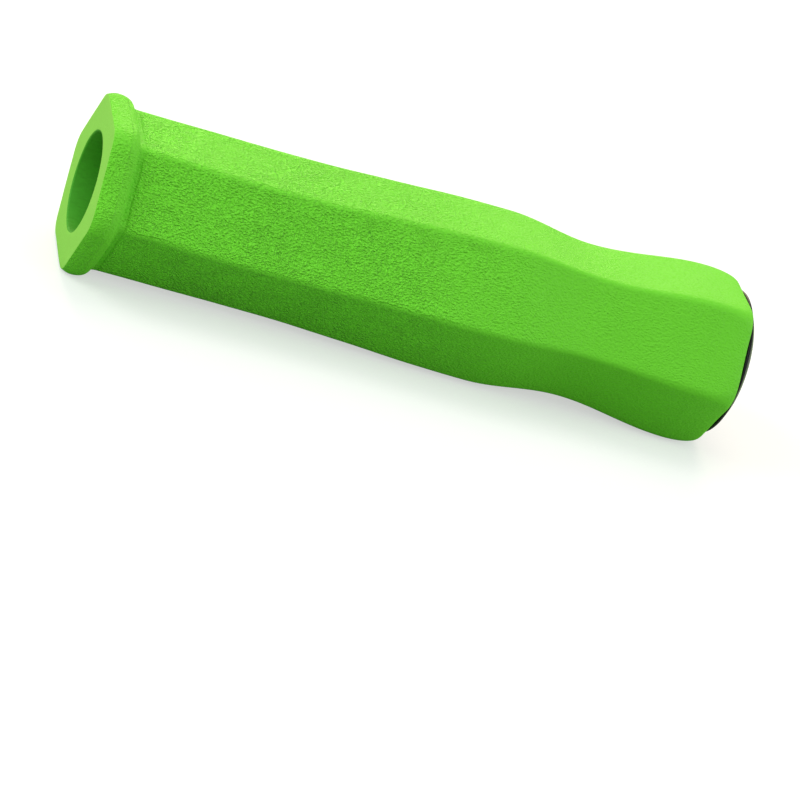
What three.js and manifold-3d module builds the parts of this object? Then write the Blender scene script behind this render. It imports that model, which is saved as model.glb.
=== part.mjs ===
// A foam handlebar grip with a push-in end plug, lying on one of its six flats.
// Millimetres, +Z up. X runs along the bore from the flange to the plug.
// The origin is on the bore's axis, halfway between the flange's end face and the plug's face.

import * as THREE from 'three';
import { LoftGeometry } from 'three/addons/geometries/LoftGeometry.js';
import { mergeVertices } from 'three/addons/utils/BufferGeometryUtils.js';
import Module from 'manifold-3d';

// Bore of the sleeve as moulded, before it is stretched over the bar
const boreDiameter = 20;

// Thickness of the sleeve between the bore and the middle of a flat, where the palm holds it
const wallAtFlats = 4.0;

// How far each form stands above the straight stretch, or below it, measured on a flat
const flangeStandout = 2.2;
const swellRise = 1.4;
const waistDip = 0.3;
const flareRise = 1.9;
const shoulderDrop = 0.9;

// Lengths of the stretches, in order from the flange's end face to the butt
const flangeThickness = 5.6;
const straightLength = 30.0;
const swellLength = 49.3;
const waistLength = 19.4;
const flareLength = 24.6;
const shoulderLength = 7.0;

// Radii of the six long edges, which grow where the butt rounds over to the plug
const flangeFaceEdgeRadius = 3.9;
const flangeEdgeRadius = 3.4;
const handEdgeRadius = 1.2;
const flareEdgeRadius = 2.0;
const buttEdgeRadius = 5.9;

// The flange is a bead with its front cut square: it swells a little behind the cut face,
// rounds over in a rim and meets the hand's stretch in a small fillet
const flangeFaceInset = 0.45;
const flangeSwellLength = 2.2;
const flangeRimLength = 2.4;
const flangeRimDrop = 1.6;
const flangeRootRadius = 0.5;

// The most of the flange's standout that its rim and its root may round away
const rimShare = 0.74;
const rootShare = 0.24;

// End plug: a round head with a sloping border, and a hollow stem with flexible fins
const headOverhang = 0.1;
const headLipThickness = 0.5;
const borderWidth = 1.8;
const borderHeight = 1.1;
const borderEdgeRadius = 0.25;
const stemDiameter = 14.4;
const stemWall = 1.7;
const stemLength = 17;
const stemFloorDepth = 2.2;
const finCount = 4;
const finPitch = 3.7;
const finTipThickness = 0.6;
const finLean = 1.0;
const finRootThickness = 1.3;

// Clearance between the plug and the foam that holds it
const seatClearance = 0.3;

// Fineness of the round stretches
const boreSegments = 48;
const plugSegments = 64;
const edgeSteps = 5;
const easeSteps = 10;
const swellSteps = 3;
const rimSteps = 5;
const filletSteps = 3;
const shoulderSteps = 8;

// Sizes across the flats that follow from the values above
const handAcrossFlats = boreDiameter + 2 * wallAtFlats;
const flangeAcrossFlats = handAcrossFlats + 2 * flangeStandout;
const swellAcrossFlats = handAcrossFlats + 2 * swellRise;
const waistAcrossFlats = handAcrossFlats - 2 * waistDip;
const flareAcrossFlats = handAcrossFlats + 2 * flareRise;
const buttAcrossFlats = flareAcrossFlats - 2 * shoulderDrop;

// Places along X
const sleeveLength =
  flangeThickness + straightLength + swellLength + waistLength + flareLength + shoulderLength;
const headThickness = headLipThickness + borderHeight;
const gripLength = sleeveLength + seatClearance + headThickness;
const flangeFaceX = -gripLength / 2;
const buttX = flangeFaceX + sleeveLength;
const headBackX = buttX + seatClearance;

const foam = new THREE.MeshStandardMaterial({ color: 0x5fbf2c, roughness: 0.85, metalness: 0 });
const blackPlastic = new THREE.MeshStandardMaterial({ color: 0x1b1b1d, roughness: 0.45, metalness: 0 });

const wasm = await Module();
wasm.setup();

// One cross-section of the sleeve: a hexagon with rounded corners that point along +Y and -Y,
// so that two flats face up and down. It runs anticlockwise as seen from the plug's end.
function hexagonSection(x, acrossFlats, edgeRadius) {
  const centreDistance = (acrossFlats / 2 - edgeRadius) / Math.cos(Math.PI / 6);
  const points = [];
  for (let corner = 0; corner < 6; corner += 1) {
    const direction = corner * Math.PI / 3;
    for (let step = 0; step <= edgeSteps; step += 1) {
      const turn = direction + (step / edgeSteps - 0.5) * Math.PI / 3;
      const y = centreDistance * Math.cos(direction) + edgeRadius * Math.cos(turn);
      const z = centreDistance * Math.sin(direction) + edgeRadius * Math.sin(turn);
      points.push(new THREE.Vector3(x, y, z));
    }
  }
  return points;
}

// A value that goes from one size to another, level at both ends
function ease(from, to, share) {
  return from + (to - from) * (1 - Math.cos(Math.PI * share)) / 2;
}

// The flange: a square-cut end face, a bead that swells behind it, a rounded back rim
// and a small fillet at its root
function flangeSections() {
  const rim = Math.min(flangeRimDrop, flangeStandout * rimShare);
  const root = Math.min(flangeRootRadius, flangeStandout * rootShare);
  const backX = flangeFaceX + flangeThickness;
  const sections = [];
  for (let step = 0; step <= swellSteps; step += 1) {
    const share = step / swellSteps;
    const left = 1 - Math.sin(share * Math.PI / 2);
    const edgeRadius = flangeEdgeRadius + (flangeFaceEdgeRadius - flangeEdgeRadius) * left;
    const acrossFlats = flangeAcrossFlats - 2 * flangeFaceInset * left;
    sections.push(hexagonSection(flangeFaceX + flangeSwellLength * share, acrossFlats, edgeRadius));
  }
  for (let step = 0; step <= rimSteps; step += 1) {
    const turn = (step / rimSteps) * Math.PI / 2;
    const drop = rim * (1 - Math.cos(turn));
    const x = backX - flangeRimLength + flangeRimLength * Math.sin(turn);
    sections.push(hexagonSection(x, flangeAcrossFlats - 2 * drop, flangeEdgeRadius - drop));
  }
  for (let step = 0; step <= filletSteps; step += 1) {
    const turn = (step / filletSteps) * Math.PI / 2;
    const rise = root * (1 - Math.sin(turn));
    const x = backX + root * (1 - Math.cos(turn));
    sections.push(hexagonSection(x, handAcrossFlats + 2 * rise, handEdgeRadius + rise));
  }
  return sections;
}

// The hand's stretch: straight, up to the swell, down to the waist and up to the flare
function handSections() {
  const stretches = [
    { length: swellLength, acrossFlats: swellAcrossFlats, edgeRadius: handEdgeRadius },
    { length: waistLength, acrossFlats: waistAcrossFlats, edgeRadius: handEdgeRadius },
    { length: flareLength, acrossFlats: flareAcrossFlats, edgeRadius: flareEdgeRadius },
  ];
  let startX = flangeFaceX + flangeThickness + straightLength;
  let start = { acrossFlats: handAcrossFlats, edgeRadius: handEdgeRadius };
  const sections = [hexagonSection(startX, start.acrossFlats, start.edgeRadius)];
  for (const end of stretches) {
    for (let step = 1; step <= easeSteps; step += 1) {
      const share = step / easeSteps;
      const acrossFlats = ease(start.acrossFlats, end.acrossFlats, share);
      const edgeRadius = ease(start.edgeRadius, end.edgeRadius, share);
      sections.push(hexagonSection(startX + end.length * share, acrossFlats, edgeRadius));
    }
    startX += end.length;
    start = end;
  }
  return sections;
}

// The shoulder rounds the flare over to the butt as a quarter of an ellipse,
// and its six edges grow rounder on the way
function shoulderSections() {
  const startX = buttX - shoulderLength;
  const sections = [];
  for (let step = 1; step <= shoulderSteps; step += 1) {
    const turn = (step / shoulderSteps) * Math.PI / 2;
    const gone = 1 - Math.cos(turn);
    const edgeRadius = flareEdgeRadius + (buttEdgeRadius - flareEdgeRadius) * gone;
    const x = startX + shoulderLength * Math.sin(turn);
    sections.push(hexagonSection(x, flareAcrossFlats - 2 * shoulderDrop * gone, edgeRadius));
  }
  return sections;
}

// A closed geometry as a solid that can be joined and cut
function toSolid(geometry) {
  const bare = new THREE.BufferGeometry();
  bare.setAttribute('position', geometry.attributes.position);
  bare.setIndex(geometry.index);
  const merged = mergeVertices(bare, 1e-5);
  const mesh = new wasm.Mesh({
    numProp: 3,
    vertProperties: new Float32Array(merged.attributes.position.array),
    triVerts: new Uint32Array(merged.index.array),
  });
  return new wasm.Manifold(mesh);
}

// A solid back as a geometry to show
function toGeometry(solid) {
  const { vertProperties, triVerts } = solid.getMesh();
  const geometry = new THREE.BufferGeometry();
  geometry.setAttribute('position', new THREE.BufferAttribute(vertProperties, 3));
  geometry.setIndex(new THREE.BufferAttribute(triVerts, 1));
  geometry.computeVertexNormals();
  return geometry;
}

// The sleeve: one moulding lofted through its sections, with the bore cut right through
function foamSleeve() {
  const sections = [...flangeSections(), ...handSections(), ...shoulderSections()];
  const outside = new LoftGeometry(sections, { capStart: true, capEnd: true });
  const bore = new THREE.CylinderGeometry(boreDiameter / 2, boreDiameter / 2, 2 * gripLength, boreSegments);
  bore.rotateZ(-Math.PI / 2);
  return new THREE.Mesh(toGeometry(toSolid(outside).subtract(toSolid(bore))), foam);
}

// The plug's outline from the middle of its face, over the head and down the finned stem,
// and back up the stem's hollow to the axis. Heights run along the axis from the head's back.
function plugOutline() {
  const headRadius = buttAcrossFlats / 2 + headOverhang;
  const faceRadius = headRadius - borderWidth;
  const stemRadius = stemDiameter / 2;
  const finRadius = boreDiameter / 2 - seatClearance;
  const outline = [
    new THREE.Vector2(0, headThickness),
    new THREE.Vector2(faceRadius - borderEdgeRadius, headThickness),
    new THREE.Vector2(faceRadius, headThickness - borderEdgeRadius * borderHeight / borderWidth),
    new THREE.Vector2(headRadius - borderEdgeRadius, headLipThickness + borderEdgeRadius),
    new THREE.Vector2(headRadius, headLipThickness),
    new THREE.Vector2(headRadius, 0),
    new THREE.Vector2(stemRadius, 0),
  ];
  for (let fin = 1; fin <= finCount; fin += 1) {
    const top = -fin * finPitch;
    outline.push(new THREE.Vector2(stemRadius, top + finRootThickness));
    outline.push(new THREE.Vector2(finRadius, top + finLean + finTipThickness));
    outline.push(new THREE.Vector2(finRadius, top + finLean));
    outline.push(new THREE.Vector2(stemRadius, top));
  }
  outline.push(new THREE.Vector2(stemRadius, -stemLength));
  outline.push(new THREE.Vector2(stemRadius - stemWall, -stemLength));
  outline.push(new THREE.Vector2(stemRadius - stemWall, -stemFloorDepth));
  outline.push(new THREE.Vector2(0, -stemFloorDepth));
  return outline;
}

// The plug: one turned form, pushed into the sleeve's butt with its head against the foam
function endPlug() {
  const turned = new THREE.LatheGeometry(plugOutline().reverse(), plugSegments);
  turned.rotateZ(-Math.PI / 2);
  const mesh = new THREE.Mesh(toGeometry(toSolid(turned)), blackPlastic);
  mesh.position.x = headBackX;
  return mesh;
}

const grip = new THREE.Group();

const sleeve = foamSleeve();
sleeve.name = 'foam_sleeve';
grip.add(sleeve);

const plug = endPlug();
plug.name = 'end_plug';
grip.add(plug);

export default grip;
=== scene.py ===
"""A foam handlebar grip with a push-in end plug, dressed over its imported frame.

The sleeve is one moulding of sponge foam: a six-sided loft with a flange, a palm swell, a waist
and a flared butt, cut square at the flange and bored right through. The plug is one moulding of
black plastic: a round head with a sloping border, and a hollow finned stem inside the bore.
Lengths are in metres. X runs along the bore from the flange to the plug, and Z is up.
"""

import logging
import math
from dataclasses import dataclass, fields
from enum import IntEnum

import bpy
import numpy as np
from mathutils import Matrix, Vector


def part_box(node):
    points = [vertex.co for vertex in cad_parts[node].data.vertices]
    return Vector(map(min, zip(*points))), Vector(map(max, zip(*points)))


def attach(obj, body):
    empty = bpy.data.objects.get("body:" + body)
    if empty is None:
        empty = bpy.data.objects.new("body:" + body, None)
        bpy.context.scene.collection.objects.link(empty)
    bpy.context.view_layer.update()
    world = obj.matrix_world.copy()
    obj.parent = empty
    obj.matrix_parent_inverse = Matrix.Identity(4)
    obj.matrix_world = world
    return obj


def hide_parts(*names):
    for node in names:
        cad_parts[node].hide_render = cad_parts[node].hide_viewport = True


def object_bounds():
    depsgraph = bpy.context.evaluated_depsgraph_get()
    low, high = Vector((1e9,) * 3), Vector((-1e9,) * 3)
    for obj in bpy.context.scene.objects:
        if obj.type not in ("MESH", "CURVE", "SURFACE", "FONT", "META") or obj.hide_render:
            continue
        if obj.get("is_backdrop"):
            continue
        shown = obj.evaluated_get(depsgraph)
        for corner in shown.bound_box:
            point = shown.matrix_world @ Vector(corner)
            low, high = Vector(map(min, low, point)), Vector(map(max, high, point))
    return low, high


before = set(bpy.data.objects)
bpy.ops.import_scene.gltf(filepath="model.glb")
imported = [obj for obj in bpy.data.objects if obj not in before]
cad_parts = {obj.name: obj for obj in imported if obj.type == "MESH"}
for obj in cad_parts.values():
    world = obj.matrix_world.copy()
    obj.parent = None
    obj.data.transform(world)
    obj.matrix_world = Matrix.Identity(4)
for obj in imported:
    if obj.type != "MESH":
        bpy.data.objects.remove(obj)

log = logging.getLogger("grip")

MM = 0.001
ROOT_BODY = "root"
GRAIN_LAYER = "grain_strength"
WHITE = (1.0, 1.0, 1.0)

# A value for each ring, or one for all of them
Spread = float | np.ndarray

# A plain value of a node's input, or the socket that it comes from
Value = float | tuple | bpy.types.NodeSocket


class Zone(IntEnum):
    """The stretches of the sleeve's surface, in the order of its materials."""

    SKIN = 0
    CUT_FACE = 1
    BORE = 2


def bounds_list() -> list[list[float]]:
    """Give the whole object's box as plain lists.

    Returns:
        The lowest corner and the highest corner, in metres.
    """
    low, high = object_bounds()
    return [[float(v) for v in low], [float(v) for v in high]]


def ease(share: np.ndarray) -> np.ndarray:
    """Rise from 0 to 1, level at both ends: half of one minus the cosine of half a turn.

    Args:
        share: Positions along the stretch, from 0 to 1.

    Returns:
        The risen share at each position.
    """
    return 0.5 - 0.5 * np.cos(np.pi * np.clip(share, 0.0, 1.0))


def grid_faces(rows: int, columns: int, close_rows: bool) -> np.ndarray:
    """Join a grid of points into quads, with every row closed into a ring.

    Args:
        rows: Number of rings.
        columns: Number of points in each ring.
        close_rows: Whether the last ring is joined back to the first.

    Returns:
        An array of quads, four point numbers each.
    """
    row = np.arange(rows if close_rows else rows - 1)[:, None]
    column = np.arange(columns)[None, :]
    next_row = (row + 1) % rows
    next_column = (column + 1) % columns
    corners = [
        row * columns + column,
        row * columns + next_column,
        next_row * columns + next_column,
        next_row * columns + column,
    ]
    return np.stack([np.broadcast_to(c, (len(row), columns)) for c in corners], axis=-1).reshape(-1, 4)


def surface_normals(points: np.ndarray) -> np.ndarray:
    """Work out unit normals of a grid that is closed both ways, from its two central differences.

    Args:
        points: Grid of points, rows by columns by three.

    Returns:
        The unit normals, one at each point.
    """
    along = np.roll(points, -1, axis=0) - np.roll(points, 1, axis=0)
    around = np.roll(points, -1, axis=1) - np.roll(points, 1, axis=1)
    normal = np.cross(around, along)
    length = np.linalg.norm(normal, axis=-1, keepdims=True)
    return normal / np.maximum(length, 1e-15)


def build_mesh(
    name: str, points: np.ndarray, quads: np.ndarray, triangles: np.ndarray | None = None
) -> bpy.types.Object:
    """Make a smooth-shaded object from points and faces, and link it to the scene.

    Args:
        name: The object's name.
        points: Points, one row each, in metres.
        quads: Faces with four corners.
        triangles: Faces with three corners, if there are any.

    Returns:
        The new object, at the origin.
    """
    corners = [quads.reshape(-1)]
    sizes = [np.full(len(quads), 4)]
    if triangles is not None:
        corners.append(triangles.reshape(-1))
        sizes.append(np.full(len(triangles), 3))
    loops = np.concatenate(corners).astype(np.int32)
    counts = np.concatenate(sizes).astype(np.int32)
    starts = np.concatenate([[0], np.cumsum(counts)[:-1]]).astype(np.int32)
    mesh = bpy.data.meshes.new(name)
    mesh.vertices.add(len(points))
    mesh.vertices.foreach_set("co", points.astype(np.float32).reshape(-1))
    mesh.loops.add(len(loops))
    mesh.loops.foreach_set("vertex_index", loops)
    mesh.polygons.add(len(counts))
    mesh.polygons.foreach_set("loop_start", starts)
    mesh.update(calc_edges=True)
    mesh.polygons.foreach_set("use_smooth", np.ones(len(counts), bool))
    mesh.validate()
    obj = bpy.data.objects.new(name, mesh)
    bpy.context.scene.collection.objects.link(obj)
    return obj


@dataclass(frozen=True)
class WaveField:
    """A smooth random height field of one wavelength that repeats in both directions.

    White noise is kept only near one wavelength in its spectrum, and brought back as heights.

    Attributes:
        seed: Seed of the random draw.
        wavelength: Mean distance from crest to crest.
        stretch: How much longer the waves are along the grip than around it.
        length: Extent of the field along the grip.
        girth: Extent of the field around the grip.
        band: Relative width of the band that is kept.
    """

    seed: int
    wavelength: float
    stretch: float
    length: float
    girth: float
    band: float = 0.35

    def heights(self, along: np.ndarray, around: np.ndarray) -> np.ndarray:
        """Sample the field by linear interpolation between its lattice points.

        Args:
            along: Distances along the grip.
            around: Distances around the grip, of the same shape.

        Returns:
            Heights with a mean square of one.
        """
        pitch = self.wavelength / 6.0
        rows = max(8, int(round(self.length / pitch)))
        columns = max(8, int(round(self.girth / pitch)))
        rng = np.random.default_rng(self.seed)
        spectrum = np.fft.fft2(rng.standard_normal((rows, columns)))
        per_row = np.fft.fftfreq(rows, self.length / rows)[:, None] * self.stretch
        per_column = np.fft.fftfreq(columns, self.girth / columns)[None, :]
        waves = np.hypot(per_row, per_column) * self.wavelength
        field = np.real(np.fft.ifft2(spectrum * np.exp(-(((waves - 1.0) / self.band) ** 2))))
        field = field / np.sqrt(np.mean(field**2))
        u = np.mod(along / self.length, 1.0) * rows
        v = np.mod(around / self.girth, 1.0) * columns
        u0, v0 = np.floor(u).astype(int), np.floor(v).astype(int)
        fu, fv = u - u0, v - v0
        u0, v0 = u0 % rows, v0 % columns
        u1, v1 = (u0 + 1) % rows, (v0 + 1) % columns
        low = field[u0, v0] * (1 - fv) + field[u0, v1] * fv
        high = field[u1, v0] * (1 - fv) + field[u1, v1] * fv
        return low * (1 - fu) + high * fu


class NodeWiring:
    """A node tree under construction, with helpers that keep its wiring short."""

    def __init__(self, tree: bpy.types.NodeTree) -> None:
        """Take the tree to build in."""
        self.tree = tree

    def fill(self, node: bpy.types.Node, inputs: dict) -> None:
        """Fill a node's inputs.

        Args:
            node: The node.
            inputs: Values or source sockets by input name or number.
        """
        for key, value in inputs.items():
            if isinstance(value, bpy.types.NodeSocket):
                self.tree.links.new(value, node.inputs[key])
            else:
                node.inputs[key].default_value = value

    def node(self, kind: str, inputs: dict | None = None, **settings: object) -> bpy.types.Node:
        """Add a node, set its properties and fill its inputs.

        Args:
            kind: The node's type name, after the prefix ShaderNode.
            inputs: Values or source sockets by input name or number.
            **settings: Properties of the node.

        Returns:
            The new node.
        """
        node = self.tree.nodes.new("ShaderNode" + kind)
        for key, value in settings.items():
            setattr(node, key, value)
        self.fill(node, inputs or {})
        return node

    def math(self, operation: str, *values: Value, clamp: bool = False) -> bpy.types.NodeSocket:
        """Calculate with numbers in the node's order, and give the result."""
        return self.node("Math", dict(enumerate(values)), operation=operation, use_clamp=clamp).outputs[0]

    def noise(self, place: Value, scale: Value, detail: float, roughness: float = 0.5) -> bpy.types.Node:
        """Add a noise texture, looked up at a place, with its waves in a metre and its finer layers."""
        inputs = {"Vector": place, "Scale": scale, "Detail": detail, "Roughness": roughness}
        return self.node("TexNoise", inputs)

    def remap(
        self,
        value: Value,
        before: tuple[float, float] = (0.0, 1.0),
        after: tuple[float, float] = (0.0, 1.0),
        kind: str = "LINEAR",
    ) -> bpy.types.NodeSocket:
        """Carry a value over from one range to another, and hold it inside that.

        Args:
            value: The value.
            before: The range that it comes from.
            after: The range that it goes to.
            kind: The node's name for the way between.

        Returns:
            The carried value.
        """
        keys = ("Value", "From Min", "From Max", "To Min", "To Max")
        inputs = dict(zip(keys, (value, *before, *after)))
        return self.node("MapRange", inputs, interpolation_type=kind).outputs["Result"]

    def mix(self, factor: Value, first: Value, second: Value) -> bpy.types.NodeSocket:
        """Mix two colours by the second one's share, each a socket or its red, green and blue."""
        a, b = [c if isinstance(c, bpy.types.NodeSocket) else (*c, 1.0) for c in (first, second)]
        return self.node("Mix", {"Factor": factor, "A": a, "B": b}, data_type="RGBA").outputs[2]

    def bump(self, height: Value, depth: float) -> bpy.types.NodeSocket:
        """Give the normal of a bump whose heights from 0 to 1 are that deep."""
        inputs = {"Height": height, "Distance": depth, "Strength": 1.0}
        return self.node("Bump", inputs).outputs["Normal"]

    def seen(self) -> bpy.types.NodeSocket:
        """Give 1 on rays that show a surface as such, seen or through glass, else 0."""
        rays = self.node("LightPath").outputs
        return self.math("MAXIMUM", rays["Is Camera Ray"], rays["Is Transmission Ray"])


class ShaderGroup(NodeWiring):
    """A shader node group under construction, placed by its first input, Vector."""

    def __init__(self, name: str, *numbers: str) -> None:
        """Start a group that has its inputs.

        Args:
            name: The group's name.
            *numbers: The names of its inputs that are numbers.
        """
        super().__init__(bpy.data.node_groups.new(name, "ShaderNodeTree"))
        sockets = self.tree.interface
        sockets.new_socket("Vector", in_out="INPUT", socket_type="NodeSocketVector")
        for number in numbers:
            sockets.new_socket(number, in_out="INPUT", socket_type="NodeSocketFloat")
        self.inside = self.tree.nodes.new("NodeGroupInput")
        self.outside = self.tree.nodes.new("NodeGroupOutput")

    def put_out(self, name: str, source: bpy.types.NodeSocket) -> None:
        """Add a named output for a number and wire a socket to it."""
        self.tree.interface.new_socket(name, in_out="OUTPUT", socket_type="NodeSocketFloat")
        self.tree.links.new(source, self.outside.inputs[name])


def foam_grain_group() -> bpy.types.NodeTree:
    """Build the grain of sponge foam: fine wrinkled strokes with creases and a few pinholes.

    The strokes are a noise drawn out along the grip, whose direction wanders because its place is
    shifted sideways by a slow noise. The creases are the low stretches of that noise, and the
    pinholes are small round dents round scattered cell centres.

    Returns:
        The group, with outputs Height, Crease and Pores, each from 0 to 1.
    """
    swirl_scale = 150.0
    pore_floor, pore_rim, pore_dent = 0.03, 0.08, 0.2
    crease_floor, crease_rim = 0.34, 0.54
    group = ShaderGroup("foam_grain", "Stretch", "Stroke Scale", "Pore Scale", "Wander")
    source = group.inside.outputs
    slow = group.noise(source["Vector"], swirl_scale, detail=1.0)
    middle = (0.5, 0.5, 0.5)
    centred = group.node("VectorMath", {0: slow.outputs["Color"], 1: middle}, operation="SUBTRACT")
    sideways = {0: centred.outputs[0], "Scale": source["Wander"]}
    shift = group.node("VectorMath", sideways, operation="SCALE")
    place = group.node("VectorMath", {0: source["Vector"], 1: shift.outputs[0]}, operation="ADD")
    split = group.node("SeparateXYZ", {0: place.outputs[0]}).outputs
    short = group.math("DIVIDE", split["X"], source["Stretch"])
    drawn = group.node("CombineXYZ", {"X": short, "Y": split["Y"], "Z": split["Z"]})
    strokes = group.noise(drawn.outputs[0], source["Stroke Scale"], detail=1.5).outputs["Fac"]
    centres = {"Vector": place.outputs[0], "Scale": source["Pore Scale"]}
    cells = group.node("TexVoronoi", centres, feature="F1")
    pore = group.remap(cells.outputs["Distance"], (pore_floor, pore_rim), (1.0, 0.0), "SMOOTHSTEP")
    group.put_out("Height", group.math("MULTIPLY_ADD", pore, -pore_dent, strokes))
    group.put_out("Crease", group.remap(strokes, (crease_floor, crease_rim), (1.0, 0.0)))
    group.put_out("Pores", pore)
    return group.tree


def mottle_group() -> bpy.types.NodeTree:
    """Build a soft cloudy variation, for colour and gloss that differ a little over a moulding.

    Returns:
        The group, with one output Cloud from 0 to 1.
    """
    group = ShaderGroup("soft_mottle", "Scale")
    source = group.inside.outputs
    noise = group.noise(source["Vector"], source["Scale"], detail=3.0)
    group.put_out("Cloud", group.remap(noise.outputs["Fac"], before=(0.3, 0.7)))
    return group.tree


@dataclass(frozen=True)
class NodeGroups:
    """The effects that more than one finish uses, each built once."""

    grain: bpy.types.NodeTree
    mottle: bpy.types.NodeTree


class MaterialTree(NodeWiring):
    """A new material with its Principled shader and its object coordinates."""

    def __init__(self, name: str) -> None:
        """Start a material whose only shader is a Principled one.

        Args:
            name: The material's name.
        """
        self.material = bpy.data.materials.new(name)
        self.material.use_nodes = True
        super().__init__(self.material.node_tree)
        self.tree.nodes.clear()
        self.shader = self.node("BsdfPrincipled")
        self.node("OutputMaterial", {"Surface": self.shader.outputs["BSDF"]})
        self.place = self.node("TexCoord").outputs["Object"]

    def group(self, tree: bpy.types.NodeTree, inputs: dict) -> bpy.types.Node:
        """Place a node group at the object coordinates and fill its other inputs, by name."""
        return self.node("Group", {"Vector": self.place, **inputs}, node_tree=tree)


@dataclass(frozen=True)
class FoamFinish:
    """One finish of the sponge foam.

    Attributes:
        name: The material's name.
        peak: Colour of the strokes' tops, linear.
        crease_shade: Colour between the strokes, linear, darkened as painted shade in the creases.
        pore: Colour down in the pinholes, linear, darkened as painted shade in them.
        stretch: How much longer the strokes are along the grip than across it.
        stroke: Mean distance from stroke to stroke.
        wander: How far the strokes wander sideways.
        pore_spacing: Mean distance between the pinholes.
        depth: Depth of the grain in the bump where its strength is 1.
        rough: Roughness at the tops and in the creases.
        sheen: Weight of the soft sheen of the skin.
        sheen_tint: Colour of that sheen, linear.
        smooth_painted_shade: How much the colour is darkened, as painted shade, where the grain has faded.
        grainy_painted_light: How much the colour is lightened, as painted light, where the grain has its
            full strength, to make up for the shade of its bump and creases.
        cloud_scale: How fine its cloudy patches are.
    """

    name: str
    peak: tuple[float, float, float]
    crease_shade: tuple[float, float, float]
    pore: tuple[float, float, float]
    stretch: float
    stroke: float
    wander: float
    pore_spacing: float
    depth: float
    rough: tuple[float, float]
    sheen: float
    sheen_tint: tuple[float, float, float] = (1.0, 0.5, 0.3)
    smooth_painted_shade: float = 1.0
    grainy_painted_light: float = 1.06
    cloud_scale: float = 45.0

    def build(self, groups: NodeGroups) -> bpy.types.Material:
        """Build the material.

        Args:
            groups: The shared effects.

        Returns:
            The finished material.
        """
        made = MaterialTree(self.name)
        texture = {
            "Stretch": self.stretch,
            "Stroke Scale": 1.0 / self.stroke,
            "Pore Scale": 1.0 / self.pore_spacing,
            "Wander": self.wander,
        }
        grain = made.group(groups.grain, texture).outputs
        strength = made.node("Attribute", attribute_name=GRAIN_LAYER).outputs["Fac"]
        cloud = made.group(groups.mottle, {"Scale": self.cloud_scale}).outputs["Cloud"]
        # Painted shade: the creases between the strokes and the pinholes get darker colours for the shade
        # that falls in them
        crease_shade_mask = made.math("MULTIPLY", grain["Crease"], strength, clamp=True)
        tops = made.mix(crease_shade_mask, self.peak, self.crease_shade)
        pore_shade_mask = made.math("MULTIPLY", grain["Pores"], strength, clamp=True)
        colour_with_pore_shade = made.mix(pore_shade_mask, tops, self.pore)
        patchy = made.remap(cloud, after=(0.98, 1.02))
        # Painted light and shade: the colour is lifted where the grain is strong, to make up for its
        # bump's shade, and lowered where it fades; the cloud is a random tone
        painted_light_by_grain = made.remap(strength, (0.2, 1.0), (self.smooth_painted_shade, self.grainy_painted_light))
        mottle_and_painted_light = made.math("MULTIPLY", patchy, painted_light_by_grain)
        colour = made.node("HueSaturation", {"Color": colour_with_pore_shade, "Value": mottle_and_painted_light})
        relief = made.math("MULTIPLY", grain["Height"], strength)
        made.fill(
            made.shader,
            {
                "Base Color": colour.outputs["Color"],
                "Roughness": made.remap(grain["Crease"], after=self.rough),
                "Normal": made.bump(relief, self.depth),
                "IOR": 1.45,
                "Sheen Weight": self.sheen,
                "Sheen Roughness": 0.8,
                "Sheen Tint": (*self.sheen_tint, 1.0),
            },
        )
        return made.material


@dataclass(frozen=True)
class PlasticFinish:
    """Moulded black plastic with a satin surface.

    Attributes:
        name: The material's name.
        colour: The plastic's colour, linear.
        worn: Colour of its faintly rubbed patches, linear.
        rough: Lowest and highest roughness.
        grain_size: Size of the fine spark texture of the mould.
        depth: Depth of that texture in the bump.
        specular: Level of the mirror reflection, where 0.5 is that of plain plastic.
        cloud_scale: How fine its cloudy patches are.
    """

    name: str
    colour: tuple[float, float, float]
    worn: tuple[float, float, float]
    rough: tuple[float, float]
    grain_size: float
    depth: float
    specular: float = 0.5
    cloud_scale: float = 110.0

    def build(self, groups: NodeGroups) -> bpy.types.Material:
        """Build the material.

        Args:
            groups: The shared effects.

        Returns:
            The finished material.
        """
        made = MaterialTree(self.name)
        cloud = made.group(groups.mottle, {"Scale": self.cloud_scale}).outputs["Cloud"]
        speck = made.noise(made.place, 1.0 / self.grain_size, detail=2.0, roughness=0.6)
        made.fill(
            made.shader,
            {
                "Base Color": made.mix(cloud, self.colour, self.worn),
                "Roughness": made.remap(cloud, after=self.rough),
                "Normal": made.bump(speck.outputs["Fac"], self.depth),
                "IOR": 1.5,
                "Specular IOR Level": self.specular,
            },
        )
        return made.material


MOULDED_SKIN = FoamFinish(
    name="moulded_foam_skin",
    peak=(0.206, 0.91, 0.027),
    crease_shade=(0.166, 0.79, 0.020),
    pore=(0.13, 0.70, 0.016),
    stretch=1.5,
    stroke=0.36 * MM,
    wander=1.6 * MM,
    pore_spacing=6.0 * MM,
    depth=1.25 * MM,
    rough=(0.60, 0.80),
    sheen=0.04,
    smooth_painted_shade=0.82,
    grainy_painted_light=1.08,
)
CUT_FACE = FoamFinish(
    name="cut_foam_face",
    peak=(0.32, 0.82, 0.105),
    crease_shade=(0.28, 0.77, 0.09),
    pore=(0.20, 0.60, 0.05),
    stretch=1.0,
    stroke=0.35 * MM,
    wander=0.5 * MM,
    pore_spacing=1.8 * MM,
    depth=0.08 * MM,
    rough=(0.75, 0.9),
    sheen=0.1,
)
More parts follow.
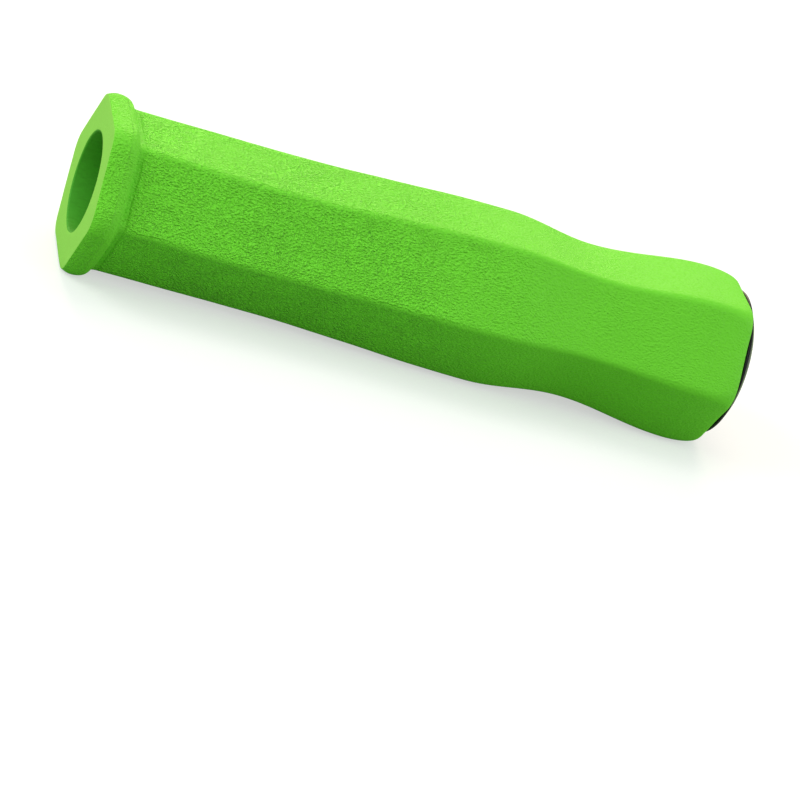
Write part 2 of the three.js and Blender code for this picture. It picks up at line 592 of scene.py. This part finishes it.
# Painted shade: the bore's wall is the same foam as the skin, given a far darker colour for the shade down
# inside the bore
SHADED_BORE_WALL = FoamFinish(
    name="bore_foam_wall_painted_shade",
    peak=(0.060, 0.44, 0.014),
    crease_shade=(0.052, 0.38, 0.012),
    pore=(0.05, 0.34, 0.010),
    stretch=3.0,
    stroke=0.6 * MM,
    wander=0.5 * MM,
    pore_spacing=3.5 * MM,
    depth=0.08 * MM,
    rough=(0.6, 0.75),
    sheen=0.05,
)
PLUG_FACE = PlasticFinish(
    name="plug_satin_face",
    colour=(0.032, 0.030, 0.035),
    worn=(0.042, 0.040, 0.046),
    rough=(0.42, 0.55),
    grain_size=0.35 * MM,
    depth=0.006 * MM,
)
PLUG_BORDER = PlasticFinish(
    name="plug_polished_border",
    colour=(0.010, 0.010, 0.012),
    worn=(0.014, 0.014, 0.016),
    rough=(0.16, 0.24),
    grain_size=0.6 * MM,
    depth=0.002 * MM,
    specular=0.3,
)


@dataclass
class SleeveRows:
    """A set of rings of the sleeve's surface, with single values spread over all of them.

    Attributes:
        zone: The stretch of surface that the ring starts.
        x: Place along the grip.
        grain: Strength of the grain in the surface.
        apothem: Distance from the axis to the middle of a flat.
        edge: Radius of the six long edges.
        circle: Radius of the circle that the ring turns into.
        roundness: 0 on a six-sided ring and 1 on a circle.
    """

    zone: Spread
    x: Spread
    grain: Spread
    apothem: Spread = 0.0
    edge: Spread = 0.0
    circle: Spread = 0.0
    roundness: Spread = 0.0

    def __post_init__(self) -> None:
        """Make every value an array over the rings."""
        names = [field.name for field in fields(self)]
        values = np.broadcast_arrays(*[np.atleast_1d(getattr(self, name)) for name in names])
        for name, value in zip(names, values):
            setattr(self, name, value)


@dataclass
class FoamSleeve:
    """The foam sleeve, one surface that runs over the outside and back through the bore.

    The sizes down to root_length are the CAD's, apart from the flange's edges and its bead, which
    follow the photograph. Next come the softer fall at the flange's six corners, the small roundings,
    the counts of rings and points, the strength of the grain by stretch, its patches and its fading,
    and the waves of the relief.
    """

    node: str = "foam_sleeve"
    bore_radius: float = 10.0 * MM
    hand_apothem: float = 14.0 * MM
    swell_rise: float = 1.4 * MM
    waist_dip: float = 0.3 * MM
    flare_rise: float = 1.9 * MM
    shoulder_drop: float = 0.9 * MM
    flange_thickness: float = 5.6 * MM
    straight_length: float = 30.0 * MM
    swell_length: float = 49.3 * MM
    waist_length: float = 19.4 * MM
    flare_length: float = 24.6 * MM
    face_edge: float = 4.6 * MM
    flange_edge: float = 4.4 * MM
    hand_edge: float = 1.2 * MM
    flare_edge: float = 2.0 * MM
    butt_edge: float = 5.9 * MM
    face_inset: float = 0.45 * MM
    bead_length: float = 2.0 * MM
    rim_length: float = 2.4 * MM
    rim_drop: float = 1.6 * MM
    root_length: float = 0.5 * MM
    corner_thickness: float = 5.0 * MM
    corner_rim_length: float = 2.8 * MM
    corner_rim_drop: float = 1.4 * MM
    corner_root_length: float = 1.8 * MM
    cut_radius: float = 0.12 * MM
    mouth_radius: float = 0.3 * MM
    ring_pitch: float = 0.45 * MM
    edge_points: int = 8
    flat_points: int = 34
    face_rings: int = 10
    bead_rings: int = 8
    rim_rings: int = 15
    shoulder_rings: int = 25
    butt_rings: int = 7
    bore_rings: int = 40
    lip_rings: int = 4
    face_grain: float = 0.5
    bead_grain: float = 0.65
    rim_grain: float = 0.35
    rim_grain_share: float = 0.8
    hand_grain: float = 1.0
    shoulder_grain: float = 0.7
    butt_grain: float = 0.4
    bore_grain: float = 0.5
    edge_share: float = 0.5
    edge_reach: float = 0.16
    fade_start: float = 0.38
    fade_length: float = 0.35
    fade_depth: float = 0.78
    fold_wavelength: float = 1.9 * MM
    fold_height: float = 0.032 * MM
    fold_softness: float = 0.6
    patch_wavelength: float = 17.0 * MM
    patch_mean: float = 0.97
    patch_depth: float = 0.08
    patch_range: tuple[float, float] = (0.7, 1.15)
    sway_wavelength: float = 14.0 * MM
    sway_height: float = 0.04 * MM
    sway_grain: float = 0.6
    turn_places: tuple[float, ...] = (0.0, 12.0, 26.0, 42.0, 58.0, 74.0, 90.0, 108.0, 124.0, 136.0)
    turn_degrees: tuple[float, ...] = (0.3, 1.2, 2.8, 2.4, 0.3, -1.0, -1.4, -1.5, -1.9, -1.3)

    def __post_init__(self) -> None:
        """Take the ends and the flange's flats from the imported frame."""
        low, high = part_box(self.node)
        self.front = low.x
        self.butt = high.x
        self.flange_apothem = high.z
        self.swell_start = self.front + self.flange_thickness + self.straight_length
        self.waist_start = self.swell_start + self.swell_length
        self.flare_start = self.waist_start + self.waist_length
        self.flare_end = self.flare_start + self.flare_length

    def section_turn(self, x: np.ndarray) -> np.ndarray:
        """Work out how far the section has wandered round the axis, as soft foam does when moulded.

        The given turns are joined by cosines that are level at each given place.

        Args:
            x: Places along the grip.

        Returns:
            The turn at each place, in radians, from +Y towards +Z.
        """
        places = np.array(self.turn_places) * MM
        turns = np.radians(self.turn_degrees)
        along = np.clip(x - self.front, places[0], places[-1] - 1e-9)
        index = np.searchsorted(places, along, side="right") - 1
        share = (along - places[index]) / (places[index + 1] - places[index])
        return turns[index] + (turns[index + 1] - turns[index]) * ease(share)

    def step_down(
        self, along: np.ndarray, lengths: tuple[float, float, float], heights: tuple[float, float, float]
    ) -> np.ndarray:
        """Fall from the flange to the hand's stretch: a quarter ellipse over the rim, one in the root.

        Args:
            along: Distances from the flange's end face.
            lengths: Distance at which the rim ends and the root begins, and the lengths of the two.
            heights: Distances from the axis on the flange, at the rim's end and past the root.

        Returns:
            The distance from the axis at each place.
        """
        back, rim, root = lengths
        high, shelf, low = heights
        over = np.clip((along - back) / rim + 1, 0, 1)
        left = np.clip(1 - (along - back) / root, 0, 1)
        on_rim = shelf + (high - shelf) * np.sqrt(1 - over**2)
        in_root = low + (shelf - low) * (1 - np.sqrt(1 - left**2))
        return np.where(along < back, on_rim, in_root)

    def step_rows(self) -> SleeveRows:
        """Work out the flange from behind its bead to the hand's stretch.

        The six corners fall earlier and more softly than the flats. On a ring, a corner lies
        1 / cos 30 times the flats' distance from the axis, less what its rounding takes away,
        and the radius of the edges follows from that.

        Returns:
            The rings.
        """
        flange, hand = self.flange_apothem, self.hand_apothem
        back = self.flange_thickness
        end = self.corner_thickness + self.corner_root_length
        turn = np.linspace(0, np.pi / 2, self.rim_rings)
        along = np.concatenate(
            [
                np.linspace(self.bead_length, back - self.rim_length, 5)[1:-1],
                back - self.rim_length * (1 - np.sin(turn)),
                back + self.root_length * (1 - np.cos(turn[3::3])),
                np.linspace(back + self.root_length, end, 5)[1:],
            ]
        )
        flats = (flange, flange - self.rim_drop, hand)
        apothem = self.step_down(along, (back, self.rim_length, self.root_length), flats)
        slant = 1 / math.cos(math.pi / 6)
        high = flange * slant - self.flange_edge * (slant - 1)
        low = hand * slant - self.hand_edge * (slant - 1)
        corner_lengths = (self.corner_thickness, self.corner_rim_length, self.corner_root_length)
        vertex = self.step_down(along, corner_lengths, (high, high - self.corner_rim_drop, low))
        edge = (apothem * slant - vertex) / (slant - 1)
        on_rim = along > back - self.rim_grain_share * self.rim_length
        grain = np.where(on_rim, self.rim_grain, self.bead_grain)
        return SleeveRows(Zone.SKIN, self.front + along, grain, apothem, edge)

    def hand_rows(self) -> SleeveRows:
        """Work out the hand's stretch from the flange's root to the start of the shoulder.

        Each stretch goes over to the next size by a cosine that is level at both ends.

        Returns:
            The rings.
        """
        start = self.front + self.corner_thickness + self.corner_root_length
        count = int(round((self.flare_end - start) / self.ring_pitch)) + 1
        x = np.linspace(start, self.flare_end, count)[1:]
        swell = ease((x - self.swell_start) / self.swell_length)
        waist = ease((x - self.waist_start) / self.waist_length)
        flare = ease((x - self.flare_start) / self.flare_length)
        apothem = (
            self.hand_apothem
            + self.swell_rise * swell
            - (self.swell_rise + self.waist_dip) * waist
            + (self.waist_dip + self.flare_rise) * flare
        )
        edge = self.hand_edge + (self.flare_edge - self.hand_edge) * flare
        return SleeveRows(Zone.SKIN, x, self.hand_grain, apothem, edge)

    def flange_rows(self) -> list[SleeveRows]:
        """Work out the cut face, its sharp rim, the bead behind it and the fall to the hand's stretch.

        The rim is a quarter circle, and the bead rises by a sine that is level at its crest.

        Returns:
            The rings from the bore's mouth out and over the flange.
        """
        mouth = self.bore_radius + self.mouth_radius
        face, cut = self.flange_apothem - self.face_inset, self.cut_radius
        inward = 1 - np.linspace(0, 1, self.face_rings)
        turn = np.linspace(0, np.pi / 2, self.lip_rings)[1:]
        inset = cut * (1 - np.sin(turn))
        on_cut = self.front + cut * (1 - np.cos(turn))
        on_bead = np.linspace(self.front + cut, self.front + self.bead_length, self.bead_rings)[1:]
        left = 1 - np.sin((on_bead - self.front - cut) / (self.bead_length - cut) * np.pi / 2)
        bead = self.flange_apothem - self.face_inset * left
        bead_edge = self.flange_edge + (self.face_edge - self.flange_edge) * left
        edge_there = self.face_edge - cut
        return [
            SleeveRows(Zone.CUT_FACE, self.front, self.face_grain, face - cut, edge_there, mouth, inward),
            SleeveRows(Zone.SKIN, on_cut, self.face_grain, face - inset, self.face_edge - inset),
            SleeveRows(Zone.SKIN, on_bead, self.bead_grain, bead, bead_edge),
            self.step_rows(),
        ]

    def butt_rows(self) -> list[SleeveRows]:
        """Work out the shoulder, a quarter of an ellipse whose edges grow rounder, and the butt.

        Returns:
            The rings from the flare's end over and in to the bore's mouth.
        """
        mouth = self.bore_radius + self.mouth_radius
        high = self.hand_apothem + self.flare_rise
        gone = 1 - np.cos(np.linspace(0, np.pi / 2, self.shoulder_rings)[1:])
        x = self.flare_end + (self.butt - self.flare_end) * np.sqrt(1 - (1 - gone) ** 2)
        apothem = high - self.shoulder_drop * gone
        edge = self.flare_edge + (self.butt_edge - self.flare_edge) * gone
        low = apothem[-1]
        inward = np.linspace(0, 1, self.butt_rings)[1:]
        return [
            SleeveRows(Zone.SKIN, x, self.shoulder_grain, apothem, edge),
            SleeveRows(Zone.SKIN, self.butt, self.butt_grain, low, self.butt_edge, mouth, inward),
        ]

    def bore_rows(self) -> list[SleeveRows]:
        """Work out the bore's wall, with a quarter circle at both of its mouths.

        Returns:
            The rings from the butt back to the flange.
        """
        lip = self.mouth_radius
        turn = np.linspace(0, np.pi / 2, self.lip_rings)[1:]
        places = [
            (self.butt - lip * (1 - np.cos(turn)), lip * (1 - np.sin(turn))),
            (np.linspace(self.butt - lip, self.front + lip, self.bore_rings)[1:], 0.0),
            (self.front + lip * (1 - np.sin(turn[:-1])), lip * (1 - np.cos(turn[:-1]))),
        ]
        radius, grain = self.bore_radius, self.bore_grain
        return [SleeveRows(Zone.BORE, x, grain, circle=radius + more, roundness=1.0) for x, more in places]

    def rows(self) -> SleeveRows:
        """List every ring, from the cut face over the outside to the butt and back along the bore.

        Returns:
            The rings, as one set.
        """
        sets = [*self.flange_rows(), self.hand_rows(), *self.butt_rows(), *self.bore_rows()]
        names = [field.name for field in fields(SleeveRows)]
        return SleeveRows(*[np.concatenate([getattr(part, name) for part in sets]) for name in names])

    def six_sided(self, apothem: np.ndarray, edge: np.ndarray) -> tuple[np.ndarray, np.ndarray]:
        """Place the columns on six-sided rings: an arc at each corner, with straight flats between.

        Args:
            apothem: Distances from the axis to the middle of a flat, as one column.
            edge: Radii of the long edges, as one column.

        Returns:
            The two coordinates across the grip, rings by columns.
        """
        sixth = np.pi / 3
        corner = np.repeat(np.arange(6), self.edge_points + self.flat_points) * sixth
        step = np.tile(np.arange(self.edge_points + self.flat_points), 6)
        on_edge = np.clip(step / self.edge_points, 0, 1)
        on_flat = np.clip((step - self.edge_points) / self.flat_points, 0, 1)
        turn = corner + (on_edge - 0.5) * sixth
        after = corner + sixth
        centre = (apothem - edge) / math.cos(sixth / 2)
        y_here = centre * np.cos(corner) + edge * np.cos(turn)
        z_here = centre * np.sin(corner) + edge * np.sin(turn)
        y_next = centre * np.cos(after) + edge * np.cos(after - sixth / 2)
        z_next = centre * np.sin(after) + edge * np.sin(after - sixth / 2)
        return y_here + (y_next - y_here) * on_flat, z_here + (z_next - z_here) * on_flat

    def ring_points(self, rows: SleeveRows) -> tuple[np.ndarray, np.ndarray]:
        """Place the points of every ring, and measure how far round the grip each column lies.

        A round ring has the columns of a six-sided one, at the same angles on a circle, and between
        the two a ring is blended by its roundness.

        Args:
            rows: The rings.

        Returns:
            The grid of points, and each column's distance round the hand's stretch, with the full
            girth last.
        """
        y, z = self.six_sided(rows.apothem[:, None], rows.edge[:, None])
        hand_y, hand_z = self.six_sided(np.array([[self.hand_apothem]]), np.array([[self.hand_edge]]))
        angle = np.arctan2(hand_z, hand_y)
        share, circle = rows.roundness[:, None], rows.circle[:, None]
        y = (1 - share) * y + share * circle * np.cos(angle)
        z = (1 - share) * z + share * circle * np.sin(angle)
        spin = self.section_turn(rows.x)[:, None]
        y, z = y * np.cos(spin) - z * np.sin(spin), y * np.sin(spin) + z * np.cos(spin)
        x = np.broadcast_to(rows.x[:, None], y.shape)
        gaps = np.hypot(np.diff(hand_y[0], append=hand_y[0, 0]), np.diff(hand_z[0], append=hand_z[0, 0]))
        around = np.concatenate([[0.0], np.cumsum(gaps)])
        return np.stack([x, y, z], axis=-1), around

    def grain_strength(self, rows: SleeveRows, patches: np.ndarray) -> np.ndarray:
        """Work out how strong the grain is at each point.

        It is weaker along the six edges, where the moulded skin is stretched, fades towards the butt
        by a cosine, and comes and goes a little in patches.

        Args:
            rows: The rings.
            patches: A slow height field over the grid, with a mean square of one.

        Returns:
            The strength from 0 to about 1.2.
        """
        columns = self.flat_points + self.edge_points
        from_edge = (np.arange(6 * columns) % columns - self.edge_points / 2) / columns
        from_edge = np.minimum(np.abs(from_edge), 1 - np.abs(from_edge))
        flatness = self.edge_share + (1 - self.edge_share) * ease(from_edge / self.edge_reach)
        place = (rows.x - self.front) / (self.butt - self.front)
        fade = 1.0 - self.fade_depth * ease((place - self.fade_start) / self.fade_length)
        patchy = np.clip(self.patch_mean + self.patch_depth * patches, *self.patch_range)
        return rows.grain[:, None] * flatness[None, :] * fade[:, None] * patchy

    def relief(
        self, points: np.ndarray, around: np.ndarray, rows: SleeveRows
    ) -> tuple[np.ndarray, np.ndarray]:
        """Work out the grain's strength at each point, and how far the surface is moved there.

        The surface moves by a short wave field that is folded at zero, so that its zero lines become
        creases, and by a long one that makes the flats a little uneven, as moulded foam is.

        Args:
            points: The grid of points.
            around: Each column's distance round the grip, with the full girth last.
            rows: The rings.

        Returns:
            The grain's strength, and heights in metres, one each at each point.
        """
        step = np.linalg.norm(np.diff(points, axis=0), axis=-1).mean(axis=1)
        along = np.concatenate([[0.0], np.cumsum(step)])
        s = np.broadcast_to(along[:, None], points.shape[:2])
        t = np.broadcast_to(around[None, :-1], points.shape[:2])
        whole = {"length": along[-1], "girth": around[-1]}
        folds = WaveField(seed=11, wavelength=self.fold_wavelength, stretch=1.8, **whole).heights(s, t)
        patches = WaveField(seed=23, wavelength=self.patch_wavelength, stretch=1.3, **whole).heights(s, t)
        sway = WaveField(seed=37, wavelength=self.sway_wavelength, stretch=1.4, **whole).heights(s, t)
        folded = np.abs(folds) / (np.abs(folds) + self.fold_softness)
        folded -= folded.mean()
        strength = self.grain_strength(rows, patches)
        held = np.minimum(rows.grain, self.sway_grain)[:, None]
        return strength, self.fold_height * folded * strength + self.sway_height * sway * held

    def build(self, groups: NodeGroups) -> bpy.types.Object:
        """Build the sleeve, dress it and give it its place in the frame.

        Args:
            groups: The shared effects.

        Returns:
            The finished piece.
        """
        rows = self.rows()
        points, around = self.ring_points(rows)
        strength, heights = self.relief(points, around, rows)
        points = points + surface_normals(points) * heights[..., None]
        quads = grid_faces(points.shape[0], points.shape[1], close_rows=True)
        piece = build_mesh("foam_sleeve_skin", points.reshape(-1, 3), quads)
        layer = piece.data.attributes.new(GRAIN_LAYER, "FLOAT", "POINT")
        layer.data.foreach_set("value", strength.astype(np.float32).reshape(-1))
        for finish in (MOULDED_SKIN, CUT_FACE, SHADED_BORE_WALL):
            piece.data.materials.append(finish.build(groups))
        zones = np.repeat(rows.zone.astype(np.int32), points.shape[1])
        piece.data.polygons.foreach_set("material_index", zones)
        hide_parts(self.node)
        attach(piece, ROOT_BODY)
        return piece


@dataclass
class EndPlug:
    """The end plug, one surface turned round the bore's axis.

    The sizes are the CAD's, and the roundings of its edges come after them.
    """

    node: str = "end_plug"
    border_width: float = 1.8 * MM
    border_height: float = 1.1 * MM
    lip_thickness: float = 0.5 * MM
    bore_radius: float = 10.0 * MM
    clearance: float = 0.3 * MM
    stem_radius: float = 7.2 * MM
    stem_wall: float = 1.7 * MM
    floor_depth: float = 2.2 * MM
    fin_count: int = 4
    fin_pitch: float = 3.7 * MM
    fin_tip: float = 0.6 * MM
    fin_lean: float = 1.0 * MM
    fin_root: float = 1.3 * MM
    head_rounding: float = 0.3 * MM
    back_rounding: float = 0.15 * MM
    fin_rounding: float = 0.2 * MM
    stem_rounding: float = 0.4 * MM
    arc_points: int = 6
    longest_side: float = 1.2 * MM
    columns: int = 192

    def __post_init__(self) -> None:
        """Take the head's size and the stem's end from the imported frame."""
        low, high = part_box(self.node)
        self.face = high.x
        self.stem_end = low.x
        self.head_radius = high.z
        self.head_back = self.face - self.border_height - self.lip_thickness

    def corners(self) -> np.ndarray:
        """List the corners of the turned outline, from the face's middle to the hollow's floor.

        Returns:
            Rows of place along the grip, radius and the corner's rounding.
        """
        face_radius = self.head_radius - self.border_width
        lip = self.head_back + self.lip_thickness
        head, back, stem = self.head_rounding, self.back_rounding, self.stem_rounding
        outline = [
            (self.face, 0.0, 0.0),
            (self.face, face_radius, head),
            (lip, self.head_radius, head),
            (self.head_back, self.head_radius, back),
            (self.head_back, self.stem_radius, head),
        ]
        fin_radius = self.bore_radius - self.clearance
        for fin in range(1, self.fin_count + 1):
            foot = self.head_back - fin * self.fin_pitch
            outline += [
                (foot + self.fin_root, self.stem_radius, back),
                (foot + self.fin_lean + self.fin_tip, fin_radius, self.fin_rounding),
                (foot + self.fin_lean, fin_radius, self.fin_rounding),
                (foot, self.stem_radius, back),
            ]
        hollow = self.stem_radius - self.stem_wall
        floor = self.head_back - self.floor_depth
        outline += [
            (self.stem_end, self.stem_radius, stem),
            (self.stem_end, hollow, head),
            (floor, hollow, stem),
            (floor, 0.0, 0.0),
        ]
        return np.array(outline)

    def profile(self) -> np.ndarray:
        """Round the outline's corners by arcs and fill its long stretches with points.

        An arc starts and ends where the corner's circle touches the two sides, and a straight
        stretch is divided evenly.

        Returns:
            Points as (place along the grip, radius), the two on the axis included.
        """
        corners = self.corners()
        p, roundings = corners[:, :2], corners[:, 2]
        pieces = [p[:1]]
        for here, before, after, radius in zip(p[1:-1], p[:-2], p[2:], roundings[1:-1]):
            back = (before - here) / np.linalg.norm(before - here)
            ahead = (after - here) / np.linalg.norm(after - here)
            half = 0.5 * math.acos(float(np.clip(back @ ahead, -1, 1)))
            reach = radius / math.tan(half)
            centre = here + (back + ahead) / np.linalg.norm(back + ahead) * radius / math.sin(half)
            start, end = here + back * reach - centre, here + ahead * reach - centre
            sweep = math.atan2(start[0] * end[1] - start[1] * end[0], float(start @ end))
            turn = np.linspace(0, sweep, self.arc_points)[:, None]
            across = np.array([-start[1], start[0]])
            pieces.append(centre + np.cos(turn) * start + np.sin(turn) * across)
        pieces.append(p[-1:])
        joined = np.concatenate(pieces)
        gaps = np.linalg.norm(np.diff(joined, axis=0), axis=1)
        filled = [joined[:1]]
        for start, end, gap in zip(joined[:-1], joined[1:], gaps):
            count = max(1, int(math.ceil(gap / self.longest_side)))
            filled.append(start + (end - start) * (np.arange(1, count + 1) / count)[:, None])
        return np.concatenate(filled)

    def build(self, groups: NodeGroups) -> bpy.types.Object:
        """Turn the profile round the axis, dress the plug and give it its place in the frame.

        Args:
            groups: The shared effects.

        Returns:
            The finished piece.
        """
        profile = self.profile()
        rings, tips = profile[1:-1], profile[[0, -1]]
        angle = np.arange(self.columns) / self.columns * 2 * np.pi
        x = np.broadcast_to(rings[:, :1], (len(rings), self.columns))
        y = rings[:, 1:] * np.cos(angle)
        z = rings[:, 1:] * np.sin(angle)
        points = np.stack([x, y, z], axis=-1).reshape(-1, 3)
        poles = np.stack([tips[:, 0], np.zeros(2), np.zeros(2)], axis=-1)
        first = np.arange(self.columns)
        second = (first + 1) % self.columns
        last = (len(rings) - 1) * self.columns
        pole = len(points)
        fans = np.concatenate(
            [
                np.stack([np.full_like(first, pole), first, second], axis=-1),
                np.stack([np.full_like(first, pole + 1), last + second, last + first], axis=-1),
            ]
        )
        quads = grid_faces(len(rings), self.columns, close_rows=False)[:, ::-1]
        piece = build_mesh("end_plug_moulding", np.concatenate([points, poles]), quads, fans)
        piece.data.materials.append(PLUG_FACE.build(groups))
        piece.data.materials.append(PLUG_BORDER.build(groups))
        face_radius = self.head_radius - self.border_width
        middle = 0.5 * (rings[1:, 1] + rings[:-1, 1])
        place = 0.5 * (rings[1:, 0] + rings[:-1, 0])
        on_border = (middle > face_radius) & (place > self.head_back)
        index = np.concatenate([np.repeat(on_border, self.columns), np.zeros(len(fans), bool)])
        piece.data.polygons.foreach_set("material_index", index.astype(np.int32))
        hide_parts(self.node)
        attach(piece, ROOT_BODY)
        return piece


@dataclass(frozen=True)
class Softbox:
    """A square lamp that shines towards the grip's middle, at the origin.

    Attributes:
        name: The lamp's name.
        place: Where it stands.
        size: Length of its side.
        level: Light that it gives on a surface at the origin that faces it, where 1 shows a white
            surface as white.
        colour: Colour of its light, linear.
    """

    name: str
    place: tuple[float, float, float]
    size: float
    level: float
    colour: tuple[float, float, float]

    def build(self) -> bpy.types.Object:
        """Make the lamp, with its power the level times pi squared times the distance squared.

        Returns:
            The lamp.
        """
        lamp = bpy.data.lights.new(self.name, "AREA")
        lamp.shape = "SQUARE"
        lamp.size = self.size
        reach = -Vector(self.place)
        lamp.energy = self.level * math.pi**2 * reach.length_squared
        lamp.color = self.colour
        obj = bpy.data.objects.new(self.name, lamp)
        obj.location = self.place
        obj.rotation_euler = reach.to_track_quat("-Z", "Y").to_euler()
        bpy.context.scene.collection.objects.link(obj)
        return obj


WARM, YELLOW, PALE = (1.0, 0.95, 0.84), (1.0, 0.79, 0.52), (0.95, 0.98, 0.92)
SOFTBOXES = (
    Softbox("top_softbox", place=(0.05, 0.30, 1.10), size=0.9, level=0.25, colour=WARM),
    Softbox("back_softbox", place=(0.10, 1.30, 0.70), size=1.0, level=0.64, colour=YELLOW),
    Softbox("front_softbox", place=(-0.30, -1.50, 1.20), size=1.0, level=0.05, colour=PALE),
    Softbox("flange_softbox", place=(-1.60, -0.20, 1.24), size=1.2, level=0.50, colour=PALE),
    Softbox("plug_softbox", place=(1.90, -0.35, 0.45), size=1.0, level=0.30, colour=PALE),
)


@dataclass(frozen=True)
class Studio:
    """The camera, the pale floor, the sky and the lamps."""

    camera_place: tuple[float, float, float] = (-229.91 * MM, -655.0 * MM, 312.85 * MM)
    camera_target: tuple[float, float, float] = (3.865 * MM, -12.525 * MM, -21.373 * MM)
    camera_roll: float = math.radians(-24.282)
    lens: float = 173.1
    sensor: float = 36.0
    floor_half: float = 3.0
    floor_bounce: tuple[float, float, float] = (0.32, 0.43, 0.29)
    floor_shown: tuple[float, float, float] = (0.55, 0.55, 0.55)
    floor_lift: float = 0.55
    sky_level: float = 0.40
    sky_colour: tuple[float, float, float] = (0.90, 1.0, 0.95)

    def build_camera(self) -> bpy.types.Object:
        """Place the camera at the photograph's viewing angle, turned about its own axis.

        Returns:
            The camera, which is also the scene's camera.
        """
        data = bpy.data.cameras.new("camera")
        data.lens = self.lens
        data.sensor_width = self.sensor
        data.sensor_fit = "HORIZONTAL"
        data.clip_end = 20.0
        camera = bpy.data.objects.new("camera", data)
        view = Vector(self.camera_target) - Vector(self.camera_place)
        level = view.to_track_quat("-Z", "Y").to_matrix().to_4x4()
        turn = Matrix.Rotation(-self.camera_roll, 4, "Z")
        camera.matrix_world = Matrix.Translation(self.camera_place) @ level @ turn
        bpy.context.scene.collection.objects.link(camera)
        bpy.context.scene.camera = camera
        return camera

    def build_floor(self, height: float) -> bpy.types.Object:
        """Lay a floor that shows white, with a soft shadow, and throws back less light than that.

        Args:
            height: The floor's height, where the grip rests.

        Returns:
            The floor.
        """
        sides = ((-1, -1), (1, -1), (1, 1), (-1, 1))
        corners = np.array([[x * self.floor_half, y * self.floor_half, height] for x, y in sides])
        floor = build_mesh("floor", corners, np.array([[0, 1, 2, 3]]))
        made = MaterialTree("pale_floor")
        seen = made.seen()
        made.fill(
            made.shader,
            {
                "Base Color": made.mix(seen, self.floor_bounce, self.floor_shown),
                "Roughness": 0.9,
                "Specular IOR Level": 0.0,
                "Emission Color": (*WHITE, 1.0),
                "Emission Strength": made.math("MULTIPLY", seen, self.floor_lift),
            },
        )
        floor.data.materials.append(made.material)
        floor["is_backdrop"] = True
        return floor

    def build_sky(self) -> None:
        """Make the world: white where it is seen, and a soft even light elsewhere."""
        world = bpy.data.worlds.new("sky")
        world.use_nodes = True
        sky = NodeWiring(world.node_tree)
        sky.tree.nodes.clear()
        seen = sky.seen()
        strength = sky.remap(seen, after=(self.sky_level, 1.0))
        colour = sky.mix(seen, self.sky_colour, WHITE)
        background = sky.node("Background", {"Color": colour, "Strength": strength})
        sky.node("OutputWorld", {"Surface": background.outputs[0]})
        bpy.context.scene.world = world

    def build_lamps(self) -> None:
        """Hang a softbox above, one behind that skims the upper flat, one in front, one at each end."""
        for softbox in SOFTBOXES:
            softbox.build()


def main() -> None:
    """Build the camera, the two pieces and the studio, and log each piece's points and faces."""
    logging.basicConfig(level=logging.INFO, format="%(message)s")
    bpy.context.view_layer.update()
    bpy.context.scene.view_settings.view_transform = "Standard"
    studio = Studio()
    studio.build_camera()
    groups = NodeGroups(grain=foam_grain_group(), mottle=mottle_group())
    for part in (FoamSleeve(), EndPlug()):
        piece = part.build(groups)
        mesh = piece.data
        log.info("%s: %d points, %d faces", piece.name, len(mesh.vertices), len(mesh.polygons))
    low, _ = bounds_list()
    studio.build_floor(low[2])
    studio.build_sky()
    studio.build_lamps()


if __name__ == "__main__":
    main()
